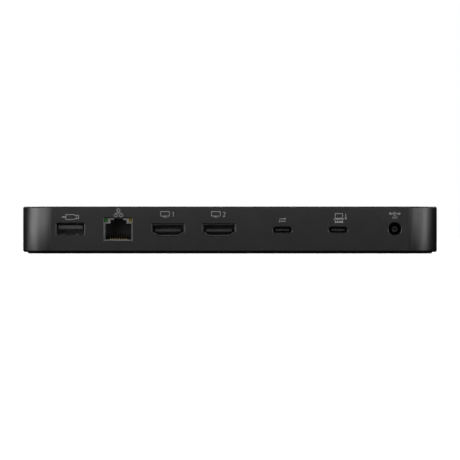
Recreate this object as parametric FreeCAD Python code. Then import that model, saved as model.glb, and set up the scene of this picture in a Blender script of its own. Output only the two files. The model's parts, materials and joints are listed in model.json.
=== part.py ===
import FreeCAD, Part
import math
import os
from FreeCAD import Vector

# Laptop docking station: a low aluminium housing with large rounded corners, closed from below by a
# moulded cover under one full-size rubber pad. A single circuit board carries every socket. The sockets
# sit just behind the housing walls, so the board goes straight up into the housing.
#
# Frame: millimetres, +Z up. The origin is the centre of the resting face. +X runs along the width.
# The rear socket wall faces -Y and the front wall, with the power button, faces +Y.

# ---------------------------------------------------------------------------------------------------
# Overall size
# ---------------------------------------------------------------------------------------------------
WIDTH = 188.0
DEPTH = 75.0
HOUSING_HEIGHT = 20.7      # the housing alone; the rubber pad stands below it
CORNER_RADIUS = 13.0       # upright corners, seen from above
EDGE_BEVEL = 0.6           # top and bottom outer edges
WALL = 1.5
ROOF = 1.6
LEDGE = 0.4                # step in the wall's lower end that the cover seats against

# ---------------------------------------------------------------------------------------------------
# Cover, pad and stack heights
# ---------------------------------------------------------------------------------------------------
PAD_STAND = 0.7            # how far the pad stands below the housing
PAD_SINK = 0.4             # how far the pad is let into the cover
PAD_INSET = 2.1            # from the housing's side to the pad's side
PAD_BEVEL = 0.5
COVER_THICKNESS = 2.0
COVER_GAP = 0.15
BOARD_LIFT = 3.3           # from the cover's inner face to the board
BOARD_THICKNESS = 1.6
BOARD_GAP = 0.8            # from the housing wall to the board's edge
SHEET_THICKNESS = 0.2
SHEET_GAP = 0.5

HOUSING_BOTTOM = PAD_STAND
HOUSING_TOP = HOUSING_BOTTOM + HOUSING_HEIGHT
ROOF_UNDERSIDE = HOUSING_TOP - ROOF
COVER_TOP = HOUSING_BOTTOM + COVER_THICKNESS
BOARD_BOTTOM = COVER_TOP + BOARD_LIFT
BOARD_TOP = BOARD_BOTTOM + BOARD_THICKNESS

# ---------------------------------------------------------------------------------------------------
# Fasteners
# ---------------------------------------------------------------------------------------------------
FIT = 0.05                 # clearance of a piece in its seat
SCREW_RADIUS = 1.2
SCREW_HEAD_RADIUS = 2.2
SCREW_HEAD_HEIGHT = 1.3
SCREW_LENGTH = 6.0
SCREW_BORE_RADIUS = SCREW_RADIUS + FIT
SCREW_PASSAGE_RADIUS = SCREW_RADIUS + 0.2
BOARD_SCREW_LENGTH = 4.0
BOSS_RADIUS = 2.5
PILLAR_RADIUS = 2.75       # half of a hexagonal pillar's width across flats
PILLAR_BORE_DEPTH = 8.0
PILLAR_SEAT_RADIUS = 4.0   # raised seat on the cover under each pillar
PILLAR_SEAT_HEIGHT = 1.2
PILLAR_INSET = 9.0         # pillar axis to the housing's side
PILLAR_CLEARANCE = 0.8     # round a pillar, through the board and the sheet
SMALL_SIDES = 8            # small hidden rounds, such as screws and their holes, have this many flats

# ---------------------------------------------------------------------------------------------------
# Sockets. Each is described by its clear opening, its sheet or wall, its length and its axis height
# above the board. Every socket's front stands PORT_GAP behind the housing wall.
# ---------------------------------------------------------------------------------------------------
PORT_GAP = 0.2
PORT_BEVEL = 0.25          # broken outer edge of each cut-out
OPENING_MARGIN = 0.1       # a cut-out is this much larger all round than the socket behind it
LEG_WIDTH = 1.4
LEG_PROTRUSION = 0.8       # below the board
LEG_CLEARANCE = 0.15
TAIL_THICKNESS = 0.2
CARRIER = 1.2              # block behind a shell that carries the solder tails
CONTACT_THICKNESS = 0.12

A_WIDTH = 12.5
A_HEIGHT = 5.12
A_SHEET = 0.3
A_LENGTH = 13.0
A_AXIS = 3.5
A_TONGUE_WIDTH = 11.1
A_TONGUE_THICKNESS = 1.84
A_TONGUE_RECESS = 1.2
A_CORNER = 0.4

C_WIDTH = 8.34
C_HEIGHT = 2.56
C_SHEET = 0.3
C_LENGTH = 8.0
C_AXIS = 3.1
C_TONGUE_WIDTH = 6.69
C_TONGUE_THICKNESS = 0.7
C_TONGUE_RECESS = 0.6
C_PITCH = 0.5
C_ROW = 12

V_WIDTH = 14.0
V_HEIGHT = 4.55
V_SLOPE_WIDTH = 2.6
V_SLOPE_HEIGHT = 1.6
V_SHEET = 0.35
V_LENGTH = 11.0
V_AXIS = 3.1
V_TONGUE_WIDTH = 11.9
V_TONGUE_THICKNESS = 1.25
V_TONGUE_RECESS = 1.0
V_TONGUE_DROP = 1.9        # from the opening's top to the tongue
V_PITCH = 1.0
V_MARGIN = 0.45

N_WIDTH = 11.9             # plug cavity
N_HEIGHT = 7.3
N_DEPTH = 12.5
N_AXIS = 2.4
N_LATCH_WIDTH = 7.26       # latch channel above the cavity, and the narrow notch above that
N_LATCH_HEIGHT = 1.55
N_NOTCH_WIDTH = 4.24
N_NOTCH_HEIGHT = 0.85
N_SIDE = 2.05              # cavity side to the shield's outside
N_FLOOR = 1.15
N_TOP = 0.85               # notch top to the shield's outside
N_SHEET = 0.25
N_LENGTH = 16.5
N_LENS_INNER = 4.75        # lens side nearest the latch, from the centre
N_LENS_WIDTH = 2.5
N_LENS_HEIGHT = 2.15
N_LENS_RISE = 0.6          # lens bottom above the cavity's roof
N_LENS_DEPTH = 4.5
N_OPENING_WIDTH = 12.7     # housing cut-out, which frames the face of the jack
N_OPENING_SHIFT = 0.2      # of the cut-out's centre, towards the green lamp
N_OPENING_BELOW = 0.5      # of the cavity's floor
N_OPENING_ABOVE = 0.15     # of the notch
N_PITCH = 1.02
N_CONTACTS = 8
N_WIRE = 0.35
N_WIRE_THICKNESS = 0.25
N_WIRE_START = 1.6
N_WIRE_RISE = 2.3
N_WIRE_RUN = 8.5
N_WING = 1.4

D_BORE_RADIUS = 2.8        # power inlet
D_SPRING_WIDTH = 1.4
D_SPRING_SHEET = 0.2
D_SPRING_BOW = 0.6
D_POST_RADIUS = 1.35
D_POST_BORE_RADIUS = 0.5
D_POST_RECESS = 1.2
D_BODY_WIDTH = 7.6
D_LENGTH = 11.5
D_BORE_DEPTH = 9.5
D_AXIS = 3.55
D_OPENING_RADIUS = 2.9

J_BORE_RADIUS = 1.8        # audio jack
J_RING_RADIUS = 3.6        # trim ring, seen through the cut-out
J_RING_LENGTH = 0.5
J_BODY_WIDTH = 6.4
J_AXIS = 3.1
J_LENGTH = 13.5
J_BORE_DEPTH = 13.0
J_OPENING_RADIUS = 3.9

S_WIDTH = 24.4             # card slot
S_HEIGHT = 2.3
S_SIDE = 1.8
S_FLOOR = 0.6
S_LENGTH = 28.0
S_BACK = 1.5
S_SHEET = 0.25
S_CORNER = 0.4
S_CONTACTS = 9
S_PITCH = 2.5

# ---------------------------------------------------------------------------------------------------
# Power button, switch and lock slot
# ---------------------------------------------------------------------------------------------------
BUTTON_RADIUS = 4.0
BUTTON_GAP = 0.15
BUTTON_FLANGE_WIDTH = 10.0
BUTTON_FLANGE_CORNER = 2.2
BUTTON_FLANGE = 0.8
BUTTON_STEM_WIDTH = 2.6
BUTTON_STEM = 1.6
BUTTON_DISH = 0.3          # depth of the finger dish
BUTTON_DISH_RADIUS = 3.2
BUTTON_TRAVEL = 0.5
BUTTON_LENS_WIDTH = 1.8
BUTTON_LENS_HEIGHT = 0.6
BUTTON_LENS_DROP = 2.3     # lens below the button's axis
SWITCH_AXIS = 3.5
SWITCH_WIDTH = 6.2
SWITCH_HEIGHT = 7.0
SWITCH_LENGTH = 3.6
SWITCH_BORE_DEPTH = 2.6
SWITCH_SHEET = 0.3
PLUNGER_RADIUS = 1.6
PLUNGER_GAP = 0.12
PLUNGER_REACH = 2.2        # from the stem to the switch's face
DOME_THICKNESS = 0.1
DOME_WIDTH = 3.0
DOME_HEIGHT = 1.6
LED_SIZE = (1.6, 0.8, 0.9)
NOTCH_DEPTH = 3.4          # board edge cut back behind the button

LOCK_WIDTH = 7.0
LOCK_HEIGHT = 3.0
LOCK_CORNER = 0.5
LOCK_MARGIN = 0.1
LOCK_PLATE_WIDTH = 14.0
LOCK_PLATE_HEIGHT = 8.0
LOCK_PLATE_THICKNESS = 1.2
LOCK_AXIS = 4.2            # above the board

# ---------------------------------------------------------------------------------------------------
# Board furniture
# ---------------------------------------------------------------------------------------------------
CHIP_SIZE = (12.0, 12.0, 1.1)
LOWER_PAD = 0.5
UPPER_PAD = 1.5
SPREADER_BASE = (46.0, 30.0, 1.6)
SPREADER_PILLAR = (26.0, 20.0)
SPREADER_RIB = 1.6
SPREADER_FOOT_INSET = 3.5  # screw axis to the base's sides
CAN_SIZE = (16.0, 19.0, 2.4)
CAN_Y = 9.0
CAN_SHEET = 0.25
TRANSFORMER_SIZE = (15.0, 8.0, 5.2)
INDUCTOR_SIZE = 7.0
INDUCTOR_HEIGHT = 3.6
INDUCTOR_CHAMFER = 1.2
CAPACITOR_RADIUS = 3.15
CAPACITOR_HEIGHT = 5.8
CAPACITOR_BASE = 6.6
CAPACITOR_BASE_HEIGHT = 0.8
SUPPORT_CHIP_HEIGHT = 0.9
PART_GAP = 1.0             # least gap between pieces that stand side by side on the board

# ---------------------------------------------------------------------------------------------------
# Layout. A station is a place along a wall, as a share of the straight run from the middle to where
# the corner's curve begins, so that the sockets spread with the housing.
# ---------------------------------------------------------------------------------------------------
RUN = WIDTH / 2 - CORNER_RADIUS
REAR = {
    "data": -0.894,
    "network": -0.625,
    "video_1": -0.347,
    "video_2": -0.062,
    "link": 0.293,
    "host": 0.605,
    "power": 0.923,
}
FRONT = {
    "card": -0.42,
    "data": 0.08,
    "brace": 0.37,
    "audio": 0.645,
    "button": 0.9,
    "spare": -0.8,
}


def rear_x(name):
    return REAR[name] * RUN


def front_x(name):
    return FRONT[name] * RUN


def middle(a, b):
    return (a + b) / 2


def behind(length):
    """Y of the back end of a rear socket of that length."""
    return -DEPTH / 2 + WALL + PORT_GAP + length


PILLAR_X = WIDTH / 2 - PILLAR_INSET
PILLAR_Y = DEPTH / 2 - PILLAR_INSET
PILLARS = [(side * PILLAR_X, end * PILLAR_Y) for side in (-1, 1) for end in (-1, 1)]
PILLARS.append((middle(rear_x("video_2"), rear_x("link")), -PILLAR_Y))
PILLARS.append((front_x("brace"), PILLAR_Y))

BOSS_X = WIDTH / 2 - 10.0
BOSS_Y = DEPTH / 2 - 7.5
VIDEO_BOSS_Y = behind(V_LENGTH) + CARRIER + 5.0
BOSSES = [
    (-BOSS_X, 0.0),
    (BOSS_X, 0.0),
    (middle(rear_x("link"), rear_x("host")), -BOSS_Y),
    (middle(rear_x("video_1"), rear_x("video_2")), VIDEO_BOSS_Y),
    (middle(front_x("audio"), front_x("button")), BOSS_Y),
    (front_x("spare"), BOSS_Y),
]


# ---------------------------------------------------------------------------------------------------
# Shape helpers
# ---------------------------------------------------------------------------------------------------
def block(x0, x1, y0, y1, z0, z1):
    return Part.makeBox(x1 - x0, y1 - y0, z1 - z0, Vector(x0, y0, z0))


def centred(size, x, y, z):
    """Box of that size, centred on x and y, standing on z."""
    wide, deep, high = size
    return block(x - wide / 2, x + wide / 2, y - deep / 2, y + deep / 2, z, z + high)


def along(shape, axis):
    """The straight edges of shape that run along axis."""
    found = []
    for edge in shape.Edges:
        if len(edge.Vertexes) == 2:
            way = edge.Vertexes[1].Point - edge.Vertexes[0].Point
            if way.cross(axis).Length < 1e-6 * way.Length:
                found.append(edge)
    return found


def slab(wide, deep, radius, z0, z1):
    """Flat plate with rounded upright corners, centred on the Z axis."""
    plate = block(-wide / 2, wide / 2, -deep / 2, deep / 2, z0, z1)
    return plate.makeFillet(radius, along(plate, Vector(0, 0, 1)))


def inset_slab(inset, z0, z1):
    """Plate that follows the housing's outline at a constant distance inside it."""
    return slab(WIDTH - 2 * inset, DEPTH - 2 * inset, CORNER_RADIUS - inset, z0, z1)


def cut_bar(wide, high, corner, y0, y1):
    """Bar along Y with cut corners, centred on the Y axis."""
    stick = block(-wide / 2, wide / 2, y0, y1, -high / 2, high / 2)
    return stick.makeChamfer(corner, along(stick, Vector(0, 1, 0)))


def pill(wide, high, y0, y1):
    """Bar along Y whose section has two half-round ends."""
    flat = (wide - high) / 2
    stick = block(-flat, flat, y0, y1, -high / 2, high / 2)
    ends = [rod(high / 2, y0, y1, side * flat, 0.0) for side in (-1, 1)]
    return stick.multiFuse(ends).removeSplitter()


def rod(radius, y0, y1, x=0.0, z=0.0):
    """Round bar along Y."""
    return Part.makeCylinder(radius, y1 - y0, Vector(x, y0, z), Vector(0, 1, 0))


def post(radius, z0, z1, x=0.0, y=0.0, sides=SMALL_SIDES):
    """Upright bar with flats. The radius is the one that the flats touch."""
    reach = radius / math.cos(math.pi / sides)
    corners = []
    for index in range(sides):
        turn = math.pi * (2 * index + 1) / sides
        corners.append(Vector(x + reach * math.cos(turn), y + reach * math.sin(turn), z0))
    return Part.Face(Part.makePolygon(corners + corners[:1])).extrude(Vector(0, 0, z1 - z0))


def face_xz(points, y):
    corners = [Vector(x, y, z) for x, z in points]
    return Part.Face(Part.makePolygon(corners + corners[:1]))


def prism_xz(points, y0, y1):
    """Outline in the XZ plane, run along Y."""
    return face_xz(points, y0).extrude(Vector(0, y1 - y0, 0))


def prism_yz(points, x0, x1):
    """Outline in the YZ plane, run along X."""
    corners = [Vector(x0, y, z) for y, z in points]
    return Part.Face(Part.makePolygon(corners + corners[:1])).extrude(Vector(x1 - x0, 0, 0))


def joined(pieces):
    """One solid out of pieces that overlap or share a face."""
    return pieces[0].multiFuse(pieces[1:]).removeSplitter()


def group(pieces):
    """Separate solids kept together in one node."""
    return Part.makeCompound(pieces)


def save(name, shape):
    shape.exportStep("parts/" + name + ".step")


# ---------------------------------------------------------------------------------------------------
# Sockets. Each is drawn in its own frame: the origin is the centre of its mouth, +Y leads into the
# socket, and the board's top is at -axis.
# ---------------------------------------------------------------------------------------------------
class Socket:
    """A socket, where it stands, and what it needs of the board and of the wall."""

    def __init__(self, name, x, front, axis):
        self.name = name
        self.x = x
        self.front = front
        self.axis = axis
        self.pieces = {}
        self.board_cuts = []
        self.opening = None

    def placed(self, shape):
        """Moves a shape from the socket's frame to the dock's."""
        moved = shape.copy()
        reach = DEPTH / 2 - WALL - PORT_GAP
        if self.front:
            moved.rotate(Vector(0, 0, 0), Vector(0, 0, 1), 180)
        else:
            reach = -reach
        moved.translate(Vector(self.x, reach, BOARD_TOP + self.axis))
        return moved

    def add(self, label, shape):
        self.pieces[self.name + "_" + label] = self.placed(shape)

    def legs(self, shell, half_width, sheet, places):
        """Adds solder legs that hang from both sides of a shell, and their slots in the board."""
        bottom = -self.axis - BOARD_THICKNESS - LEG_PROTRUSION
        strips = []
        for y in places:
            for side in (-1, 1):
                x0, x1 = sorted((side * half_width, side * (half_width + sheet)))
                strips.append(block(x0, x1, y, y + LEG_WIDTH, bottom, 0.0))
                gap = LEG_CLEARANCE
                self.cut_board(x0 - gap, x1 + gap, y - gap, y + LEG_WIDTH + gap)
        return joined([shell] + strips)

    def cut_board(self, x0, x1, y0, y1):
        top = -self.axis + 1.0
        bottom = -self.axis - BOARD_THICKNESS - 1.0
        self.board_cuts.append(self.placed(block(x0, x1, y0, y1, bottom, top)))

    def tail(self, x, wide, y, rise):
        """Solder tail that comes down behind a carrier at y to the board."""
        return block(x - wide / 2, x + wide / 2, y, y + TAIL_THICKNESS, -self.axis, rise)

    def cut_wall(self, shape):
        self.opening = self.placed(shape)

    def wall_span(self):
        """Start and end of a cut that goes through the wall in front of the socket."""
        return -PORT_GAP - WALL - 1.0, -PORT_GAP + 0.1


def type_a_socket(name, x, front):
    """Rectangular data socket: folded shell with four spring fingers, and a tongue with its contacts above."""
    port = Socket(name, x, front, A_AXIS)
    outer_width = A_WIDTH + 2 * A_SHEET
    outer_height = A_HEIGHT + 2 * A_SHEET
    shell = cut_bar(outer_width, outer_height, A_CORNER + A_SHEET / 2, 0.0, A_LENGTH)
    shell = shell.cut(cut_bar(A_WIDTH, A_HEIGHT, A_CORNER, -1.0, A_LENGTH + 1.0))
    window_width, window_start, window_end = 1.9, 2.4, 7.4
    finger_width, finger_bend = 1.2, 0.35
    fingers = []
    for side in (-1, 1):
        for level in (-1, 1):
            middle_x = side * A_WIDTH / 4
            z0, z1 = sorted((level * A_HEIGHT / 2, level * outer_height / 2))
            half = window_width / 2
            shell = shell.cut(block(middle_x - half, middle_x + half, window_start, window_end, z0, z1))
            bend = -level * finger_bend
            outline = [(window_end, z1), (window_start + 0.4, z1 + bend), (window_start + 0.4, z0 + bend)]
            outline.append((window_end, z0))
            half = finger_width / 2
            fingers.append(prism_yz(outline, middle_x - half, middle_x + half))
    shell = joined([shell] + fingers)
    port.add("shell", port.legs(shell, A_WIDTH / 2, A_SHEET, (3.4, A_LENGTH - 3.0)))

    tongue_low = FIT
    tongue_high = tongue_low + A_TONGUE_THICKNESS
    half = A_TONGUE_WIDTH / 2
    tongue = block(-half, half, A_TONGUE_RECESS, A_LENGTH, tongue_low, tongue_high)
    tongue = tongue.makeChamfer(0.3, [e for e in along(tongue, Vector(1, 0, 0)) if e.BoundBox.YMax < A_LENGTH - 1])
    plug_stop = A_LENGTH - 4.0
    back = cut_bar(A_WIDTH - 2 * FIT, A_HEIGHT - 2 * FIT, A_CORNER, plug_stop, A_LENGTH)
    carrier = block(-half, half, A_LENGTH, A_LENGTH + CARRIER, -A_AXIS, outer_height / 2)
    port.add("insulator", joined([tongue, back, carrier]))

    pad_z = tongue_low - CONTACT_THICKNESS
    contacts = []
    for place in (-3.5, -1.0, 1.0, 3.5):
        contacts.append(block(place - 0.5, place + 0.5, 3.6, plug_stop, pad_z, tongue_low))
    for place in range(-2, 3):
        contacts.append(block(2 * place - 0.35, 2 * place + 0.35, 1.7, 3.2, pad_z, tongue_low))
    for place in range(-4, 5):
        contacts.append(port.tail(1.15 * place, 0.5, A_LENGTH + CARRIER, 0.5))
    port.add("contacts", group(contacts))

    y0, y1 = port.wall_span()
    grow = 2 * OPENING_MARGIN
    port.cut_wall(cut_bar(A_WIDTH + grow, A_HEIGHT + grow, A_CORNER, y0, y1))
    return port


def type_c_socket(name, x, front):
    """Flat reversible socket: drawn pill-shaped shell, and a thin tongue with contacts on both faces."""
    port = Socket(name, x, front, C_AXIS)
    outer_height = C_HEIGHT + 2 * C_SHEET
    shell = pill(C_WIDTH + 2 * C_SHEET, outer_height, 0.0, C_LENGTH)
    shell = shell.cut(pill(C_WIDTH, C_HEIGHT, -1.0, C_LENGTH + 1.0))
    port.add("shell", port.legs(shell, C_WIDTH / 2, C_SHEET, (1.2, C_LENGTH - 2.2)))

    half = C_TONGUE_WIDTH / 2
    thick = C_TONGUE_THICKNESS / 2
    tongue = block(-half, half, C_TONGUE_RECESS, C_LENGTH, -thick, thick)
    tongue = tongue.makeChamfer(0.2, [e for e in along(tongue, Vector(0, 0, 1)) if e.BoundBox.YMax < 2.0])
    root = block(-half - 0.2, half + 0.2, C_LENGTH - 2.8, C_LENGTH, -thick - 0.3, thick + 0.3)
    back = cut_bar(C_WIDTH - 2 * FIT, C_HEIGHT - 2 * FIT, 0.37 * C_HEIGHT, C_LENGTH - 1.6, C_LENGTH)
    carrier = block(-half, half, C_LENGTH, C_LENGTH + CARRIER, -C_AXIS, outer_height / 2)
    underside = -outer_height / 2 - FIT
    pedestal = block(-half, half, 3.4, C_LENGTH + CARRIER, -C_AXIS, underside)
    port.add("insulator", joined([tongue, root, back, carrier, pedestal]))

    contacts = []
    for index in range(C_ROW):
        place = (index - (C_ROW - 1) / 2) * C_PITCH
        for low in (-thick - 0.06, thick):
            contacts.append(block(place - 0.12, place + 0.12, 1.3, C_LENGTH - 2.8, low, low + 0.06))
        contacts.append(port.tail(place, 0.24, C_LENGTH + CARRIER, -1.2))
    port.add("contacts", group(contacts))

    y0, y1 = port.wall_span()
    grow = 2 * OPENING_MARGIN
    port.cut_wall(pill(C_WIDTH + grow, C_HEIGHT + grow, y0, y1))
    return port


def video_outline(margin):
    """Six-sided outline of the video socket, sloped in at both lower corners, grown by margin."""
    half = V_WIDTH / 2
    top = V_HEIGHT / 2
    points = [(-half, top), (half, top), (half, -top + V_SLOPE_HEIGHT), (half - V_SLOPE_WIDTH, -top)]
    points += [(-half + V_SLOPE_WIDTH, -top), (-half, -top + V_SLOPE_HEIGHT)]
    outline = face_xz(points, 0.0)
    return outline.makeOffset2D(margin, 2) if margin else outline


def video_bar(margin, y0, y1):
    outline = video_outline(margin)
    outline.translate(Vector(0, y0, 0))
    return outline.extrude(Vector(0, y1 - y0, 0))


def video_socket(name, x, front):
    """Wide video socket with sloped lower corners and a tongue with nineteen contacts."""
    port = Socket(name, x, front, V_AXIS)
    shell = video_bar(V_SHEET, 0.0, V_LENGTH).cut(video_bar(0.0, -1.0, V_LENGTH + 1.0))
    port.add("shell", port.legs(shell, V_WIDTH / 2, V_SHEET, (2.4, V_LENGTH - 2.8)))

    high = V_HEIGHT / 2 - V_TONGUE_DROP
    low = high - V_TONGUE_THICKNESS
    half = V_TONGUE_WIDTH / 2
    tongue = block(-half, half, V_TONGUE_RECESS, V_LENGTH, low, high)
    tongue = tongue.makeChamfer(0.25, [e for e in along(tongue, Vector(1, 0, 0)) if e.BoundBox.YMax < V_LENGTH - 1])
    plug_stop = V_LENGTH - 3.0
    back = video_bar(-FIT, plug_stop, V_LENGTH)
    carrier_top = V_HEIGHT / 2 + V_SHEET
    carrier = block(-half, half, V_LENGTH, V_LENGTH + CARRIER, -V_AXIS, carrier_top)
    port.add("insulator", joined([tongue, back, carrier]))

    contacts = []
    for row, low_z in ((10, high), (9, low - CONTACT_THICKNESS)):
        for index in range(row):
            place = (index - (row - 1) / 2) * V_PITCH
            contacts.append(block(place - 0.22, place + 0.22, 1.6, plug_stop, low_z, low_z + CONTACT_THICKNESS))
    for index in range(10):
        place = (index - 4.5) * V_PITCH
        contacts.append(port.tail(place, 0.35, V_LENGTH + CARRIER, 0.3))
    port.add("contacts", group(contacts))

    y0, y1 = port.wall_span()
    port.cut_wall(video_bar(V_MARGIN, y0, y1))
    return port


def network_outline(margin):
    """The plug cavity with the latch channel and notch above it, grown by margin."""
    half, latch, notch = (w / 2 + margin for w in (N_WIDTH, N_LATCH_WIDTH, N_NOTCH_WIDTH))
    floor = -N_HEIGHT / 2 - margin
    roof = N_HEIGHT / 2 + margin
    step = roof + N_LATCH_HEIGHT
    top = step + N_NOTCH_HEIGHT
    right = [(half, floor), (half, roof), (latch, roof), (latch, step), (notch, step), (notch, top)]
    return right + [(-x, z) for x, z in reversed(right)]


def network_socket(name, x, front):
    """Network jack, let into the board's edge: wire contacts on its floor, latch channel and two lamps above."""
    port = Socket(name, x, front, N_AXIS)
    half = N_WIDTH / 2 + N_SIDE
    low = -N_HEIGHT / 2 - N_FLOOR
    notch_top = N_HEIGHT / 2 + N_LATCH_HEIGHT + N_NOTCH_HEIGHT
    high = notch_top + N_TOP
    inner = half - N_SHEET
    lens_low = N_HEIGHT / 2 + N_LENS_RISE
    lens_high = lens_low + N_LENS_HEIGHT
    lens_outer = N_LENS_INNER + N_LENS_WIDTH

    shield = block(-half, half, 0.0, N_LENGTH, low, high)
    hollow = block(-inner, inner, N_SHEET, N_LENGTH - N_SHEET, low + N_SHEET, high - N_SHEET)
    shield = shield.cut(hollow).cut(prism_xz(network_outline(0.0), -1.0, N_SHEET + 1.0))
    body = block(-inner + FIT, inner - FIT, N_SHEET, N_LENGTH - N_SHEET - FIT, low + N_SHEET, high - N_SHEET - FIT)
    body = body.cut(prism_xz(network_outline(0.0), -1.0, N_DEPTH))
    for side, colour in ((-1, "green"), (1, "amber")):
        x0, x1 = sorted((side * N_LENS_INNER, side * lens_outer))
        port.add(colour + "_lamp_lens", block(x0, x1, 0.0, N_LENS_DEPTH, lens_low, lens_high))
        seat = block(x0 - FIT, x1 + FIT, -1.0, N_LENS_DEPTH + FIT, lens_low - FIT, lens_high + FIT)
        shield = shield.cut(seat)
        body = body.cut(seat)
    wings = []
    for side in (-1, 1):
        x0, x1 = sorted((side * (half - N_SHEET), side * (half + N_WING)))
        wings.append(block(x0, x1, 4.0, 8.0, -N_AXIS, -N_AXIS + N_SHEET))
    shield = joined([shield] + wings)
    shield = shield.cut(block(-inner + 1.0, inner - 1.0, N_LENGTH - 1.0, N_LENGTH + 1.0, -N_AXIS, 0.0))
    port.add("shield", shield)
    port.add("body", body)

    floor = -N_HEIGHT / 2
    start = N_WIRE_START
    end = start + N_WIRE_RUN
    thick = N_WIRE_THICKNESS
    wire = [(start, floor), (start + thick, floor), (start + thick, floor + thick)]
    wire += [(end, floor + N_WIRE_RISE), (end, floor + N_WIRE_RISE + thick), (start, floor + 2 * thick)]
    wires = []
    for index in range(N_CONTACTS):
        place = (index - (N_CONTACTS - 1) / 2) * N_PITCH
        wires.append(prism_yz(wire, place - N_WIRE / 2, place + N_WIRE / 2))
        wires.append(port.tail(place, N_WIRE, N_LENGTH + 0.3, -1.2))
    port.add("contacts", group(wires))

    gap = 0.3
    port.cut_board(-half - gap, half + gap, -5.0, N_LENGTH + gap)
    y0, y1 = port.wall_span()
    x0 = -N_OPENING_WIDTH / 2 - N_OPENING_SHIFT
    top = notch_top + N_OPENING_ABOVE
    port.cut_wall(block(x0, x0 + N_OPENING_WIDTH, y0, y1, floor - N_OPENING_BELOW, top))
    return port


def power_socket(name, x, front):
    """Barrel power inlet: moulded body, a leaf spring on the floor of its bore and a hollow centre post."""
    port = Socket(name, x, front, D_AXIS)
    half = D_BODY_WIDTH / 2
    body = block(-half, half, 0.0, D_LENGTH, -D_AXIS, half)
    body = body.makeChamfer(1.0, [e for e in along(body, Vector(0, 1, 0)) if e.BoundBox.ZMin > 0])
    body = body.cut(rod(D_BORE_RADIUS, -1.0, D_BORE_DEPTH))
    body = body.cut(rod(D_POST_RADIUS, 0.0, D_LENGTH + 1.0))
    port.add("body", body)
    edge = D_SPRING_WIDTH / 2
    low = FIT - math.sqrt(D_BORE_RADIUS ** 2 - edge ** 2)
    sheet, bow = D_SPRING_SHEET, D_SPRING_BOW
    leaf = [(2.0, low), (5.0, low + bow), (D_BORE_DEPTH, low), (D_BORE_DEPTH, low + sheet)]
    leaf += [(5.0, low + bow + sheet), (2.0, low + sheet)]
    port.add("spring", prism_yz(leaf, -edge, edge))
    hollow = rod(D_POST_BORE_RADIUS, D_POST_RECESS - 1.0, D_BORE_DEPTH)
    stem = rod(D_POST_RADIUS, D_POST_RECESS, D_LENGTH)
    tab = block(-0.8, 0.8, D_LENGTH, D_LENGTH + 0.4, -D_AXIS, 0.8)
    port.add("post", joined([stem.cut(hollow), tab]))
    y0, y1 = port.wall_span()
    port.cut_wall(rod(D_OPENING_RADIUS, y0, y1))
    return port


def audio_socket(name, x, front):
    """Audio jack: bored body with a metal ring round its mouth and clip contacts down its sides."""
    port = Socket(name, x, front, J_AXIS)
    half = J_BODY_WIDTH / 2
    body = block(-half, half, J_RING_LENGTH, J_LENGTH, -J_AXIS, half - 0.1)
    body = body.cut(rod(J_BORE_RADIUS, 0.0, J_BORE_DEPTH))
    ring = rod(J_RING_RADIUS, 0.0, J_RING_LENGTH)
    ring = ring.cut(rod(J_BORE_RADIUS, -1.0, J_RING_LENGTH + 1.0))
    port.add("body", body)
    port.add("ring", ring)
    clips = []
    for side in (-1, 1):
        x0, x1 = sorted((side * half, side * (half + 0.25)))
        for y in (3.2, 7.0, 10.8):
            clips.append(block(x0, x1, y, y + LEG_WIDTH, -J_AXIS, 1.4))
    port.add("contacts", group(clips))
    y0, y1 = port.wall_span()
    port.cut_wall(rod(J_OPENING_RADIUS, y0, y1))
    return port


def card_socket(name, x, front):
    """Memory card slot: moulded tray, folded steel lid and a row of spring contacts."""
    port = Socket(name, x, front, S_FLOOR + S_HEIGHT / 2)
    half = S_WIDTH / 2
    outer = half + S_SIDE
    top = S_HEIGHT / 2
    tray = block(-outer, outer, 0.0, S_LENGTH, -port.axis, top)
    tray = tray.cut(block(-half, half, -1.0, S_LENGTH - S_BACK, -top, top + 1.0))
    key = prism_xz([(half - 0.1, -top), (half, -top), (half, -top + 0.7), (half - 0.1, -top + 0.7)], 6.0, 20.0)
    port.add("tray", joined([tray, key]))

    lid = block(-outer - S_SHEET, outer + S_SHEET, 0.0, S_LENGTH, -top, top + S_SHEET)
    lid = lid.cut(block(-outer, outer, -1.0, S_LENGTH + 1.0, -top - 1.0, top))
    for side in (-1, 1):
        place = side * half / 2
        lid = lid.cut(block(place - 1.5, place + 1.5, 14.0, 23.0, 0.0, top + 1.0))
    port.add("lid", lid)

    strips = []
    for index in range(S_CONTACTS):
        place = (index - (S_CONTACTS - 1) / 2) * S_PITCH
        end = S_LENGTH - S_BACK
        profile = [(end, -top), (end, -top + 0.2), (end - 5.0, -top + 0.9), (end - 5.0, -top + 0.7)]
        strips.append(prism_yz(profile, place - 0.6, place + 0.6))
    port.add("contacts", group(strips))

    y0, y1 = port.wall_span()
    grow = 2 * OPENING_MARGIN
    port.cut_wall(cut_bar(S_WIDTH + grow, S_HEIGHT + grow, S_CORNER, y0, y1))
    return port


def button_lens(margin, y0, y1):
    half = BUTTON_LENS_WIDTH / 2 + margin
    low = -BUTTON_LENS_DROP - BUTTON_LENS_HEIGHT / 2 - margin
    return block(-half, half, y0, y1, low, low + BUTTON_LENS_HEIGHT + 2 * margin)


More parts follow.
